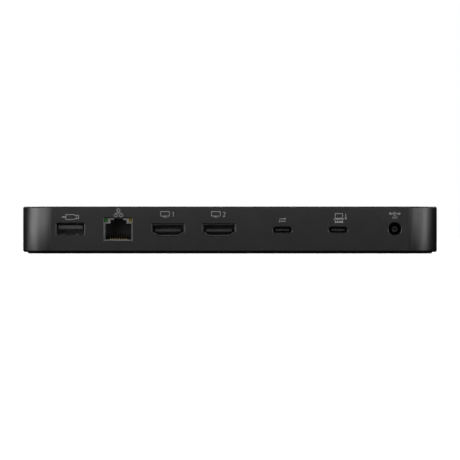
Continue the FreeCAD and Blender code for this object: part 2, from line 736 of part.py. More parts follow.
def power_button():
    """Round button: dished cap held behind the wall by its flange, pushing the plunger of a board switch."""
    port = Socket("power", front_x("button"), True, SWITCH_AXIS)
    face = -PORT_GAP - WALL
    lens_hole = button_lens(FIT, face - 1.0, BUTTON_FLANGE + 1.0)
    cap = rod(BUTTON_RADIUS, face, BUTTON_FLANGE / 2)
    dish_ball = (BUTTON_DISH_RADIUS ** 2 + BUTTON_DISH ** 2) / (2 * BUTTON_DISH)
    cap = cap.cut(Part.makeSphere(dish_ball, Vector(0, face - dish_ball + BUTTON_DISH, 0)))
    stem_end = BUTTON_FLANGE + BUTTON_STEM
    flange = cut_bar(BUTTON_FLANGE_WIDTH, BUTTON_FLANGE_WIDTH, BUTTON_FLANGE_CORNER, 0.0, BUTTON_FLANGE)
    half_stem = BUTTON_STEM_WIDTH / 2
    stem = block(-half_stem, half_stem, 0.0, stem_end, -half_stem, half_stem)
    cap = joined([cap, flange, stem])
    port.add("button_cap", cap.cut(lens_hole))
    port.add("button_lens", button_lens(0.0, face + BUTTON_DISH, BUTTON_FLANGE))

    switch_face = stem_end + PLUNGER_REACH
    switch_back = switch_face + SWITCH_LENGTH
    half = SWITCH_WIDTH / 2
    top = SWITCH_HEIGHT - SWITCH_AXIS
    body = block(-half, half, switch_face, switch_back, -SWITCH_AXIS, top)
    body = body.cut(rod(PLUNGER_RADIUS + PLUNGER_GAP, switch_face - 1.0, switch_face + SWITCH_BORE_DEPTH))
    port.add("switch_body", body)
    dome_back = switch_face + SWITCH_BORE_DEPTH
    plunger_end = dome_back - DOME_THICKNESS - BUTTON_TRAVEL - 0.2
    port.add("switch_plunger", rod(PLUNGER_RADIUS, stem_end + FIT, plunger_end))
    port.add("switch_dome", cut_bar(DOME_WIDTH, DOME_HEIGHT, 0.3, dome_back - DOME_THICKNESS, dome_back))

    bracket = block(-half - SWITCH_SHEET, half + SWITCH_SHEET, switch_face, switch_back, -1.0, top + SWITCH_SHEET)
    bracket = bracket.cut(block(-half, half, switch_face - 1.0, switch_back + 1.0, -2.0, top))
    port.add("switch_bracket", port.legs(bracket, half, SWITCH_SHEET, (middle(switch_face, switch_back) - LEG_WIDTH / 2,)))

    wide, deep, high = LED_SIZE
    led_y = switch_face - deep - 0.3
    led = block(-wide / 2, wide / 2, led_y, led_y + deep, -SWITCH_AXIS, -SWITCH_AXIS + high)
    port.add("status_lamp", led)

    notch = BUTTON_FLANGE_WIDTH / 2 + 0.5
    port.cut_board(-notch, notch, -5.0, NOTCH_DEPTH)
    y0, y1 = port.wall_span()
    port.cut_wall(rod(BUTTON_RADIUS + BUTTON_GAP, y0, y1))
    return port


# ---------------------------------------------------------------------------------------------------
# Lock slot, in the right-hand wall
# ---------------------------------------------------------------------------------------------------
def lock_bar(margin, x0, x1):
    """Slot with cut corners along X, at the lock's height."""
    shape = cut_bar(LOCK_WIDTH + 2 * margin, LOCK_HEIGHT + 2 * margin, LOCK_CORNER, x0, x1)
    shape.rotate(Vector(0, 0, 0), Vector(0, 0, 1), -90)
    shape.translate(Vector(0, 0, BOARD_TOP + LOCK_AXIS))
    return shape


def lock_plate():
    """Steel plate behind the wall that takes the load of a cable lock."""
    x1 = WIDTH / 2 - WALL
    x0 = x1 - LOCK_PLATE_THICKNESS
    half = LOCK_PLATE_WIDTH / 2
    low = BOARD_TOP + LOCK_AXIS - LOCK_PLATE_HEIGHT / 2
    plate = block(x0, x1, -half, half, low, low + LOCK_PLATE_HEIGHT)
    return plate.cut(lock_bar(0.0, x0 - 1.0, x1 + 1.0))


# ---------------------------------------------------------------------------------------------------
# Housing, cover, pad
# ---------------------------------------------------------------------------------------------------
def on_plane(edge, axis, place):
    box = edge.BoundBox
    low = (box.XMin, box.YMin, box.ZMin)[axis]
    high = (box.XMax, box.YMax, box.ZMax)[axis]
    return abs(low - place) < 1e-4 and abs(high - place) < 1e-4


def break_openings(shape):
    """Bevels the outer edges of every cut-out in the front, rear and right-hand walls."""
    planes = ((1, -DEPTH / 2), (1, DEPTH / 2), (0, WIDTH / 2))
    edges = []
    for face in shape.Faces:
        for axis, place in planes:
            if on_plane(face, axis, place):
                for wire in face.Wires:
                    if not wire.isSame(face.OuterWire):
                        edges += wire.Edges
    return shape.makeChamfer(PORT_BEVEL, edges)


def housing(sockets):
    """Roof and four walls in one piece, open below, with a ledge for the cover and a cut-out per socket."""
    outer = inset_slab(0.0, HOUSING_BOTTOM, HOUSING_TOP)
    rims = [e for e in outer.Edges if on_plane(e, 2, HOUSING_BOTTOM) or on_plane(e, 2, HOUSING_TOP)]
    shell = outer.makeChamfer(EDGE_BEVEL, rims)
    shell = shell.cut(inset_slab(WALL, HOUSING_BOTTOM - 1.0, ROOF_UNDERSIDE))
    shell = shell.cut(inset_slab(WALL - LEDGE, HOUSING_BOTTOM - 1.0, COVER_TOP))
    cuts = [s.opening for s in sockets]
    cuts.append(lock_bar(LOCK_MARGIN, WIDTH / 2 - WALL - 1.0, WIDTH / 2 + 1.0))
    return break_openings(shell.cut(Part.makeCompound(cuts)))


def cover():
    """Moulded bottom cover: seats for the pillars, bosses for the board, and a recess for the pad."""
    plate = inset_slab(WALL - LEDGE + COVER_GAP, HOUSING_BOTTOM, COVER_TOP)
    plate = plate.cut(inset_slab(PAD_INSET - COVER_GAP, HOUSING_BOTTOM - 1.0, HOUSING_BOTTOM + PAD_SINK))
    raised = [post(PILLAR_SEAT_RADIUS, COVER_TOP - 0.5, COVER_TOP + PILLAR_SEAT_HEIGHT, x, y) for x, y in PILLARS]
    raised += [post(BOSS_RADIUS, COVER_TOP - 0.5, BOARD_BOTTOM, x, y) for x, y in BOSSES]
    holes = []
    for x, y in PILLARS:
        holes.append(post(SCREW_PASSAGE_RADIUS, 0.0, BOARD_BOTTOM, x, y))
        holes.append(post(SCREW_HEAD_RADIUS + 0.2, 0.0, cover_screw_seat(), x, y))
    for x, y in BOSSES:
        holes.append(post(SCREW_BORE_RADIUS, BOARD_BOTTOM - BOARD_LIFT - 0.6, BOARD_BOTTOM + 1.0, x, y))
    return joined([plate] + raised).cut(Part.makeCompound(holes))


def cover_screw_seat():
    """Height of the face that the cover screws' heads pull against."""
    return HOUSING_BOTTOM + PAD_SINK + SCREW_HEAD_HEIGHT + 0.1


def foot_pad():
    """Rubber pad let into the cover, bevelled round its lower edge."""
    pad = inset_slab(PAD_INSET, 0.0, HOUSING_BOTTOM + PAD_SINK)
    return pad.makeChamfer(PAD_BEVEL, [e for e in pad.Edges if on_plane(e, 2, 0.0)])


def pillars():
    """Hexagonal threaded pillars that stand between the roof and the cover's seats."""
    foot = COVER_TOP + PILLAR_SEAT_HEIGHT
    made = []
    for x, y in PILLARS:
        shaft = post(PILLAR_RADIUS, foot, ROOF_UNDERSIDE, x, y, 6)
        made.append(shaft.cut(post(SCREW_BORE_RADIUS, foot - 1.0, foot + PILLAR_BORE_DEPTH, x, y)))
    return group(made)


def screw(x, y, seat, up, length):
    """Pan-head screw whose head rests on seat and whose shank runs up or down from it."""
    head_end = seat - up * SCREW_HEAD_HEIGHT
    tip = seat + up * length
    head = post(SCREW_HEAD_RADIUS, min(seat, head_end), max(seat, head_end), x, y)
    shank = post(SCREW_RADIUS, min(seat, tip), max(seat, tip), x, y)
    return joined([head, shank])


def cover_screws():
    return group([screw(x, y, cover_screw_seat(), 1, SCREW_LENGTH) for x, y in PILLARS])


def board_screws():
    return group([screw(x, y, BOARD_TOP, -1, BOARD_SCREW_LENGTH) for x, y in BOSSES])


def main_board(sockets):
    """Circuit board, cut back round the pillars, the jack let into its edge and the power button."""
    board = inset_slab(WALL + BOARD_GAP, BOARD_BOTTOM, BOARD_TOP)
    cuts = []
    for x, y in PILLARS:
        cuts.append(post(PILLAR_RADIUS + PILLAR_CLEARANCE, BOARD_BOTTOM - 1.0, BOARD_TOP + 1.0, x, y))
    for x, y in BOSSES:
        cuts.append(post(SCREW_PASSAGE_RADIUS, BOARD_BOTTOM - 1.0, BOARD_TOP + 1.0, x, y))
    for socket in sockets:
        cuts += socket.board_cuts
    for x, y in spreader_feet():
        cuts.append(post(SCREW_PASSAGE_RADIUS, BOARD_BOTTOM - 1.0, BOARD_TOP + 1.0, x, y))
    return board.cut(Part.makeCompound(cuts))


def insulating_sheet():
    """Thin film on the cover under the board, holed for the seats and bosses."""
    sheet = inset_slab(WALL + SHEET_GAP, COVER_TOP, COVER_TOP + SHEET_THICKNESS)
    cuts = [post(PILLAR_SEAT_RADIUS + PILLAR_CLEARANCE, COVER_TOP - 1.0, BOARD_BOTTOM, x, y) for x, y in PILLARS]
    cuts += [post(BOSS_RADIUS + PILLAR_CLEARANCE, COVER_TOP - 1.0, BOARD_BOTTOM, x, y) for x, y in BOSSES]
    return sheet.cut(Part.makeCompound(cuts))


# ---------------------------------------------------------------------------------------------------
# Board furniture
# ---------------------------------------------------------------------------------------------------
SPREADER_X = middle(rear_x("link"), rear_x("video_2")) + 13.0
SPREADER_Y = -1.0
SPREADER_BOTTOM = BOARD_TOP + CHIP_SIZE[2] + LOWER_PAD


def spreader_feet():
    """Axes of the four screws that hold the heat spreader down."""
    reach_x = SPREADER_BASE[0] / 2 - SPREADER_FOOT_INSET
    reach_y = SPREADER_BASE[1] / 2 - SPREADER_FOOT_INSET
    return [(SPREADER_X + i * reach_x, SPREADER_Y + j * reach_y) for i in (-1, 1) for j in (-1, 1)]


def heat_spreader():
    """Cast block that carries heat from the main chip to the roof: base, ribbed pillar and four feet."""
    wide, deep, thick = SPREADER_BASE
    top = ROOF_UNDERSIDE - UPPER_PAD
    base = centred(SPREADER_BASE, SPREADER_X, SPREADER_Y, SPREADER_BOTTOM)
    core = centred(SPREADER_PILLAR + (top - SPREADER_BOTTOM,), SPREADER_X, SPREADER_Y, SPREADER_BOTTOM)
    ribs = []
    half = SPREADER_PILLAR[0] / 2 - 1.0
    tip = wide / 2 - 1.0
    crown = SPREADER_BOTTOM + thick
    for side in (-1, 1):
        for place in (-6.0, 0.0, 6.0):
            outline = [(side * half, crown - 0.2), (side * tip, crown - 0.2), (side * half, top - 1.0)]
            rib = prism_xz(outline, place - SPREADER_RIB / 2, place + SPREADER_RIB / 2)
            rib.translate(Vector(SPREADER_X, SPREADER_Y, 0))
            ribs.append(rib)
    feet = [post(SCREW_HEAD_RADIUS + 0.6, BOARD_TOP, SPREADER_BOTTOM + 0.3, x, y) for x, y in spreader_feet()]
    bores = [post(SCREW_PASSAGE_RADIUS, BOARD_TOP - 1.0, SPREADER_BOTTOM + 3.0, x, y) for x, y in spreader_feet()]
    return joined([base, core] + ribs + feet).cut(Part.makeCompound(bores))


def spreader_screws():
    seat = SPREADER_BOTTOM + SPREADER_BASE[2]
    return group([screw(x, y, seat, -1, seat - BOARD_BOTTOM + 0.8) for x, y in spreader_feet()])


def thermal_pads():
    """Soft pads under and over the heat spreader."""
    lower = centred(CHIP_SIZE[:2] + (LOWER_PAD,), SPREADER_X, SPREADER_Y, BOARD_TOP + CHIP_SIZE[2])
    upper_size = (SPREADER_PILLAR[0] - 2.0, SPREADER_PILLAR[1] - 2.0, UPPER_PAD)
    upper = centred(upper_size, SPREADER_X, SPREADER_Y, ROOF_UNDERSIDE - UPPER_PAD)
    return group([lower, upper])


def shield_can():
    """Folded steel can soldered over the radio-noisy chips."""
    wide, deep, high = CAN_SIZE
    x = -BOSS_X + SCREW_HEAD_RADIUS + 3 * PART_GAP + wide / 2
    inside = (wide - 2 * CAN_SHEET, deep - 2 * CAN_SHEET, high - CAN_SHEET)
    return centred(CAN_SIZE, x, CAN_Y, BOARD_TOP).cut(centred(inside, x, CAN_Y, BOARD_TOP))


INLET_CAPACITOR_Y = behind(D_LENGTH) + PART_GAP + CAPACITOR_BASE / 2
INLET_INDUCTOR_Y = INLET_CAPACITOR_Y + CAPACITOR_BASE / 2 + PART_GAP + INDUCTOR_SIZE / 2


def network_transformer():
    """Encapsulated transformer block behind the network jack."""
    y = behind(N_LENGTH) + 2 * PART_GAP + TRANSFORMER_SIZE[1] / 2
    return centred(TRANSFORMER_SIZE, rear_x("network"), y, BOARD_TOP)


def inductors():
    """Moulded power inductors with cut corners, behind the video sockets' screw and the power inlet."""
    row_y = VIDEO_BOSS_Y + SCREW_HEAD_RADIUS + 3 * PART_GAP + INDUCTOR_SIZE / 2
    pitch = INDUCTOR_SIZE + 2 * PART_GAP
    places = [(rear_x("video_1") + (step + 0.5) * pitch, row_y) for step in (-1, 0, 1)]
    places += [(rear_x("power") - (step + 0.2) * pitch, INLET_INDUCTOR_Y) for step in (0, 1)]
    made = []
    for x, y in places:
        coil = centred((INDUCTOR_SIZE, INDUCTOR_SIZE, INDUCTOR_HEIGHT), x, y, BOARD_TOP)
        made.append(coil.makeChamfer(INDUCTOR_CHAMFER, along(coil, Vector(0, 0, 1))))
    return group(made)


def capacitors():
    """Polymer capacitors: metal cans on square plastic bases."""
    pitch = CAPACITOR_BASE + PART_GAP
    inlet_row = middle(rear_x("host"), rear_x("power"))
    button_row_y = DEPTH / 2 - 27.5
    places = [(inlet_row + side * pitch / 2, INLET_CAPACITOR_Y) for side in (-1, 1)]
    places += [(front_x("button") - step * pitch, button_row_y) for step in (0, 1)]
    beside_jack = rear_x("network") + TRANSFORMER_SIZE[0] / 2 + 3 * PART_GAP + CAPACITOR_BASE / 2
    places.append((beside_jack, VIDEO_BOSS_Y))
    made = []
    for x, y in places:
        base = centred((CAPACITOR_BASE, CAPACITOR_BASE, CAPACITOR_BASE_HEIGHT), x, y, BOARD_TOP)
        base = base.makeChamfer(INDUCTOR_CHAMFER, along(base, Vector(0, 0, 1))[:2])
        can = post(CAPACITOR_RADIUS, BOARD_TOP + 0.5, BOARD_TOP + CAPACITOR_HEIGHT, x, y)
        made.append(joined([base, can]))
    return group(made)


def support_chips():
    """Smaller packaged chips behind the sockets that they serve."""
    host_y = behind(C_LENGTH) + CARRIER + 8.0
    data_y = behind(A_LENGTH) + CARRIER + 8.0
    video_y = behind(V_LENGTH) + CARRIER + 4.5
    audio_y = DEPTH / 2 - WALL - PORT_GAP - J_LENGTH - 7.0
    places = [(rear_x("host"), host_y, 5.0), (rear_x("data"), data_y, 6.0)]
    places += [(rear_x("video_2"), video_y, 5.0), (front_x("audio"), audio_y, 4.0)]
    made = [centred((size, size, SUPPORT_CHIP_HEIGHT), x, y, BOARD_TOP) for x, y, size in places]
    return group(made)


# ---------------------------------------------------------------------------------------------------
# Build
# ---------------------------------------------------------------------------------------------------
def main():
    os.makedirs("parts", exist_ok=True)
    sockets = [
        type_a_socket("rear_data_port", rear_x("data"), False),
        network_socket("network_port", rear_x("network"), False),
        video_socket("video_port_1", rear_x("video_1"), False),
        video_socket("video_port_2", rear_x("video_2"), False),
        type_c_socket("link_port", rear_x("link"), False),
        type_c_socket("host_port", rear_x("host"), False),
        power_socket("power_inlet", rear_x("power"), False),
        card_socket("card_slot", front_x("card"), True),
        type_a_socket("front_data_port", front_x("data"), True),
        audio_socket("audio_jack", front_x("audio"), True),
        power_button(),
    ]
    for socket in sockets:
        for name, shape in socket.pieces.items():
            save(name, shape)
    save("housing", housing(sockets))
    save("bottom_cover", cover())
    save("foot_pad", foot_pad())
    save("threaded_pillars", pillars())
    save("cover_screws", cover_screws())
    save("board_screws", board_screws())
    save("main_board", main_board(sockets))
    save("insulating_sheet", insulating_sheet())
    save("lock_plate", lock_plate())
    save("main_chip", centred(CHIP_SIZE, SPREADER_X, SPREADER_Y, BOARD_TOP))
    save("heat_spreader", heat_spreader())
    save("spreader_screws", spreader_screws())
    save("thermal_pads", thermal_pads())
    save("shield_can", shield_can())
    save("network_transformer", network_transformer())
    save("power_inductors", inductors())
    save("capacitors", capacitors())
    save("support_chips", support_chips())


main()
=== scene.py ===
import bpy
import json
import math
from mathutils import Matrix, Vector


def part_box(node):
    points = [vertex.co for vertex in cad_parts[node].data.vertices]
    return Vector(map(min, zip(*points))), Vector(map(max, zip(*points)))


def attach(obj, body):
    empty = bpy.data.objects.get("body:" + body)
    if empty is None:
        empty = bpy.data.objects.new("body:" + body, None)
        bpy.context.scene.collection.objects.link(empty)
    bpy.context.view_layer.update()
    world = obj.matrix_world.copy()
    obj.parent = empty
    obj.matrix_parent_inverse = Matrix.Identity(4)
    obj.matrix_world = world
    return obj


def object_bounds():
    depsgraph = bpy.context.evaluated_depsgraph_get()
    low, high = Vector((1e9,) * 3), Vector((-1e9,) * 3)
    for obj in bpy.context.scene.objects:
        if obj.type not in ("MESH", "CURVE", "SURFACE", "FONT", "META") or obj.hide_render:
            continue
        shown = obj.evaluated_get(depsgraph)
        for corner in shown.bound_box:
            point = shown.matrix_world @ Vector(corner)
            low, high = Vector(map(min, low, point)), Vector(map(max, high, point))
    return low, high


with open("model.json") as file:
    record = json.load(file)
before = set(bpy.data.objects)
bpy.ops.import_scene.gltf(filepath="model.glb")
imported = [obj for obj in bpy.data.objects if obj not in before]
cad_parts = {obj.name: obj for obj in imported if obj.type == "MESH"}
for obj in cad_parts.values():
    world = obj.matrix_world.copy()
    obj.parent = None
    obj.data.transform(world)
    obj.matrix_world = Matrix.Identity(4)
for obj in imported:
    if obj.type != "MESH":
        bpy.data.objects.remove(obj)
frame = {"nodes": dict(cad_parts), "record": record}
cad_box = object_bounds()

NODES = frame["nodes"]
MM = 0.001
LOW, HIGH = Vector(cad_box[0]), Vector(cad_box[1])
REAR_WALL = LOW.y
FRONT_WALL = HIGH.y
INK_HEIGHT = 0.00002       # printed marks stand this far off the wall, in metres
MARK_LINE = 0.24           # width of a printed line, in millimetres
PLUG_MARK_WIDTH = 7.6
EDGE_WIDTH = 0.00012       # rounding of the housing's sharp edges
WELD_REACH = 0.000002      # vertices closer than this are one
SHARP_EDGE = math.radians(25)


# ---------------------------------------------------------------------------------------------------
# Materials
# ---------------------------------------------------------------------------------------------------
class Shader:
    """A Principled material and its node tree, with short calls for its textures and relief."""

    def __init__(self, name, colour, metallic=0.0, roughness=0.5, **sockets):
        self.material = bpy.data.materials.new(name)
        self.material.use_nodes = True
        self.tree = self.material.node_tree
        self.nodes = self.tree.nodes
        self.principled = self.nodes["Principled BSDF"]
        self.set("Base Color", (*colour, 1.0))
        self.set("Metallic", metallic)
        self.set("Roughness", roughness)
        for socket, value in sockets.items():
            self.set(socket.replace("_", " "), value)
        self.colour = colour
        self.coordinates = self.nodes.new("ShaderNodeTexCoord").outputs["Object"]

    def set(self, socket, value):
        self.principled.inputs[socket].default_value = value

    def link(self, output, target):
        self.tree.links.new(output, target)

    def noise(self, scale, detail=3.0, roughness=0.5, stretch=(1.0, 1.0, 1.0)):
        """Noise of that many cells per metre, drawn out along an axis where stretch is below 1."""
        mapping = self.nodes.new("ShaderNodeMapping")
        mapping.inputs["Scale"].default_value = stretch
        self.link(self.coordinates, mapping.inputs["Vector"])
        texture = self.nodes.new("ShaderNodeTexNoise")
        texture.inputs["Scale"].default_value = scale
        texture.inputs["Detail"].default_value = detail
        texture.inputs["Roughness"].default_value = roughness
        self.link(mapping.outputs["Vector"], texture.inputs["Vector"])
        return texture.outputs["Fac"]

    def spread(self, value, low, high):
        """Maps the middle of a 0 to 1 value onto the range from low to high."""
        ramp = self.nodes.new("ShaderNodeMapRange")
        ramp.inputs["From Min"].default_value = 0.3
        ramp.inputs["From Max"].default_value = 0.7
        ramp.inputs["To Min"].default_value = low
        ramp.inputs["To Max"].default_value = high
        self.link(value, ramp.inputs["Value"])
        return ramp.outputs["Result"]

    def vary_roughness(self, value, low, high):
        self.link(self.spread(value, low, high), self.principled.inputs["Roughness"])

    def vary_colour(self, value, dark, light):
        """Colour that runs between two multiples of the base colour."""
        mix = self.nodes.new("ShaderNodeMix")
        mix.data_type = "RGBA"
        mix.inputs["A"].default_value = (*(c * dark for c in self.colour), 1.0)
        mix.inputs["B"].default_value = (*(min(1.0, c * light) for c in self.colour), 1.0)
        self.link(self.spread(value, 0.0, 1.0), mix.inputs["Factor"])
        self.link(mix.outputs["Result"], self.principled.inputs["Base Color"])

    def bump(self, value, height, strength=1.0):
        """Surface relief of that height in metres."""
        node = self.nodes.new("ShaderNodeBump")
        node.inputs["Distance"].default_value = height
        node.inputs["Strength"].default_value = strength
        self.link(value, node.inputs["Height"])
        previous = self.principled.inputs["Normal"]
        if previous.is_linked:
            self.link(previous.links[0].from_socket, node.inputs["Normal"])
        self.link(node.outputs["Normal"], previous)


def anodised(name, colour, roughness=0.42):
    """Blasted and dyed aluminium: fine grain, slow drift in tone and gloss."""
    shader = Shader(name, colour, metallic=1.0, roughness=roughness)
    grain = shader.noise(9000.0, detail=2.0)
    shader.vary_colour(shader.noise(60.0, detail=4.0), 0.97, 1.04)
    shader.vary_roughness(shader.noise(140.0, detail=5.0), roughness - 0.014, roughness + 0.02)
    shader.bump(grain, 0.000008, 0.35)
    return shader.material


def moulded(name, colour, roughness=0.55, grain=3500.0, height=0.000012):
    """Moulded plastic with a fine spark-eroded grain."""
    shader = Shader(name, colour, roughness=roughness, Specular_IOR_Level=0.45)
    shader.vary_colour(shader.noise(180.0), 0.88, 1.12)
    shader.vary_roughness(shader.noise(700.0), roughness - 0.06, roughness + 0.08)
    shader.bump(shader.noise(grain, detail=2.0), height, 0.5)
    return shader.material


def sheet_metal(name, colour, roughness=0.28, along=(0.04, 1.0, 1.0)):
    """Rolled and plated sheet with faint drawing lines."""
    shader = Shader(name, colour, metallic=1.0, roughness=roughness)
    lines = shader.noise(5000.0, detail=2.0, stretch=along)
    shader.vary_colour(shader.noise(400.0, detail=4.0), 0.85, 1.06)
    shader.vary_roughness(lines, roughness - 0.07, roughness + 0.1)
    shader.bump(lines, 0.000004, 0.4)
    return shader.material


def rubber(name, colour):
    """Soft black rubber: close grain and dusty, uneven sheen."""
    shader = Shader(name, colour, roughness=0.78, Specular_IOR_Level=0.3)
    shader.vary_colour(shader.noise(90.0, detail=6.0), 0.8, 1.35)
    shader.vary_roughness(shader.noise(300.0, detail=5.0), 0.68, 0.88)
    shader.bump(shader.noise(2600.0, detail=3.0), 0.00003, 0.6)
    return shader.material


def gold(name):
    """Gold plate over copper alloy, with small wear marks."""
    shader = Shader(name, (0.86, 0.62, 0.25), metallic=1.0, roughness=0.25)
    shader.vary_colour(shader.noise(2500.0, detail=3.0), 0.8, 1.05)
    shader.vary_roughness(shader.noise(1500.0), 0.18, 0.36)
    return shader.material


def lens(name, colour, glow):
    """Tinted plastic light guide with a weak inner glow."""
    shader = Shader(name, colour, roughness=0.25, Transmission_Weight=0.15, Coat_Weight=0.4)
    shader.set("Emission Color", (*colour, 1.0))
    shader.set("Emission Strength", glow)
    shader.vary_colour(shader.noise(1200.0), 0.85, 1.1)
    shader.bump(shader.noise(4000.0), 0.00001, 0.3)
    return shader.material


def laminate(name):
    """Solder mask over woven glass: green, with the weave just showing."""
    shader = Shader(name, (0.012, 0.075, 0.035), roughness=0.32, Coat_Weight=0.3)
    weave = shader.noise(2200.0, detail=1.0, stretch=(1.0, 0.3, 1.0))
    shader.vary_colour(shader.noise(350.0, detail=2.0), 0.7, 1.35)
    shader.vary_roughness(weave, 0.26, 0.42)
    shader.bump(weave, 0.00001, 0.4)
    return shader.material


def ink(name):
    """Pale screen-printed ink, slightly broken at the edges of its grain."""
    shader = Shader(name, (0.16, 0.163, 0.168), roughness=0.6)
    shader.vary_colour(shader.noise(5000.0, detail=3.0), 0.85, 1.1)
    shader.vary_roughness(shader.noise(2500.0), 0.5, 0.7)
    return shader.material


def paint_all():
    """Gives every CAD node a material for what it is made of."""
    housing = anodised("anodised_dark", (0.0555, 0.055, 0.055))
    cap = anodised("anodised_button", (0.055, 0.056, 0.058), roughness=0.34)
    black = moulded("black_plastic", (0.012, 0.012, 0.013))
    grey = moulded("grey_plastic", (0.04, 0.0405, 0.0415), roughness=0.5)
    cover = moulded("cover_plastic", (0.016, 0.016, 0.017), roughness=0.6, grain=2600.0, height=0.00002)
    chip = moulded("chip_epoxy", (0.02, 0.02, 0.021), roughness=0.45, grain=6000.0)
    steel = sheet_metal("plated_steel", (0.62, 0.62, 0.61))
    shell = sheet_metal("dark_nickel", (0.17, 0.17, 0.168), roughness=0.36)
    black_chrome = sheet_metal("black_chrome", (0.07, 0.07, 0.071), roughness=0.32, along=(1.0, 1.0, 0.2))
    tin = sheet_metal("tinned_contact", (0.3, 0.295, 0.28), roughness=0.4)
    dull = sheet_metal("zinc_steel", (0.42, 0.43, 0.44), roughness=0.4)
    brass = sheet_metal("turned_brass", (0.72, 0.5, 0.2), along=(1.0, 1.0, 0.05))
    cast = anodised("cast_aluminium", (0.6, 0.6, 0.61), roughness=0.5)
    can = sheet_metal("capacitor_can", (0.7, 0.7, 0.71), along=(1.0, 1.0, 0.2))
    core = moulded("pressed_powder", (0.05, 0.05, 0.053), roughness=0.7, grain=1800.0, height=0.00004)
    gasket = rubber("thermal_silicone", (0.3, 0.22, 0.27))
    film = Shader("insulating_film", (0.01, 0.01, 0.011), roughness=0.2)
    film.vary_roughness(film.noise(90.0, detail=4.0), 0.14, 0.3)
    film.bump(film.noise(60.0, detail=4.0), 0.0002, 0.4)
    by_slot = {
        "housing_metal": housing,
        "button_metal": cap,
        "lock_plate_metal": dull,
        "cover_plastic": cover,
        "pad_rubber": rubber("pad_rubber", (0.008, 0.008, 0.009)),
        "shell_steel": shell,
        "ring_metal": steel,
        "pillar_brass": brass,
        "screw_steel": dull,
        "contact_gold": gold("contact_gold"),
        "black_insulator": black,
        "grey_insulator": grey,
        "green_lens": lens("green_lens", (0.014, 0.085, 0.01), 0.0),
        "amber_lens": lens("amber_lens", (0.14, 0.1, 0.003), 0.0),
        "clear_lens": lens("clear_lens", (0.75, 0.78, 0.8), 0.3),
        "board_laminate": laminate("board_laminate"),
        "sheet_film": film.material,
        "chip_plastic": chip,
        "spreader_metal": cast,
        "thermal_silicone": gasket,
        "inductor_core": core,
        "capacitor_can": can,
    }
    # nodes whose finish differs from the rest of their slot
    by_node = {
        "network_port_shield": steel,
        "power_inlet_post": black_chrome,
        "power_inlet_spring": black_chrome,
        "rear_data_port_contacts": tin,
        "front_data_port_contacts": tin,
        "video_port_1_contacts": tin,
        "video_port_2_contacts": tin,
        "link_port_contacts": tin,
        "host_port_contacts": tin,
    }
    slots = {part["node"]: part["material_slot"] for part in frame["record"]["subparts"]}
    for name, node in NODES.items():
        for place in node.material_slots:
            place.material = by_node.get(name, by_slot[slots[name]])


def soften(name, width):
    """Rounds a node's sharp edges slightly, so that they catch the light."""
    node = NODES[name]
    weld = node.modifiers.new("weld", "WELD")
    weld.merge_threshold = WELD_REACH
    bevel = node.modifiers.new("edges", "BEVEL")
    bevel.width = width
    bevel.segments = 2
    bevel.limit_method = "ANGLE"
    bevel.angle_limit = SHARP_EDGE
    bevel.harden_normals = True


# ---------------------------------------------------------------------------------------------------
# Printed marks. Each is a set of flat strokes on a wall, drawn in millimetres about its own centre.
# ---------------------------------------------------------------------------------------------------
def stroke(points, width=None, closed=False):
    """Quads along a line of (x, z) points, with the corners mitred."""
    half = (width or MARK_LINE) / 2
    count = len(points)
    lefts, rights = [], []
    for index, point in enumerate(points):
        here = Vector(point)
        before = Vector(points[index - 1]) if index or closed else None
        after = Vector(points[(index + 1) % count]) if index < count - 1 or closed else None
        steps = (here - before if before else None, after - here if after else None)
        ways = [step.normalized() for step in steps if step]
        way = sum(ways, Vector((0.0, 0.0))).normalized()
        side = Vector((-way.y, way.x))
        reach = half / max(0.5, side.dot(Vector((-ways[0].y, ways[0].x))))
        lefts.append(here + side * reach)
        rights.append(here - side * reach)
    points = lefts + rights
    faces = []
    for index in range(count if closed else count - 1):
        follow = (index + 1) % count
        faces.append((index, follow, count + follow, count + index))
    return points, faces


def filled(points):
    """One flat face inside a line of (x, z) points."""
    return [Vector(p) for p in points], [tuple(range(len(points)))]


def rectangle(wide, high, x=0.0, z=0.0):
    """Corners of an upright rectangle about x and z."""
    return [(x - wide / 2, z - high / 2), (x + wide / 2, z - high / 2), (x + wide / 2, z + high / 2),
            (x - wide / 2, z + high / 2)]


def ring(radius, x=0.0, z=0.0, start=0.0, end=360.0, steps=24):
    """Points along a circle or an arc of it, in degrees from +X."""
    whole = end - start >= 360.0
    count = steps if whole else steps + 1
    turns = [math.radians(start + (end - start) * i / steps) for i in range(count)]
    return [(x + radius * math.cos(t), z + radius * math.sin(t)) for t in turns]


def print_mark(name, x, z, strokes, material, front=False, body="dock", plane=None):
    """Builds a mark on the rear or front wall, centred at x and z in millimetres."""
    vertices, faces = [], []
    side = -1 if front else 1
    wall = (FRONT_WALL if front else REAR_WALL) if plane is None else plane
    level = wall + side * -INK_HEIGHT
    for points, quads in strokes:
        base = len(vertices)
        for point in points:
            vertices.append(((x + side * point[0]) * MM, level, (z + point[1]) * MM))
        faces += [tuple(base + i for i in quad) for quad in quads]
    mesh = bpy.data.meshes.new(name)
    mesh.from_pydata(vertices, [], faces)
    mesh.materials.append(material)
    mark = bpy.data.objects.new(name, mesh)
    bpy.context.scene.collection.objects.link(mark)
    thickness = mark.modifiers.new("film", "SOLIDIFY")
    thickness.thickness = INK_HEIGHT
    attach(mark, body)
    return mark


def centre_of(node):
    """Middle of a CAD node along X and Z, in millimetres."""
    low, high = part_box(node)
    return (low.x + high.x) / 2 / MM, (low.z + high.z) / 2 / MM


def arrow(x, z, length, way):
    """Short arrow along X."""
    tip = x + way * length / 2
    barb = 0.45
    return [stroke([(x - way * length / 2, z), (tip, z)]),
            stroke([(tip - way * barb, z + barb), (tip, z), (tip - way * barb, z - barb)])]


def digit_one(x, z, high):
    return [stroke([(x - 0.35, z + high / 2 - 0.35), (x, z + high / 2), (x, z - high / 2)])]


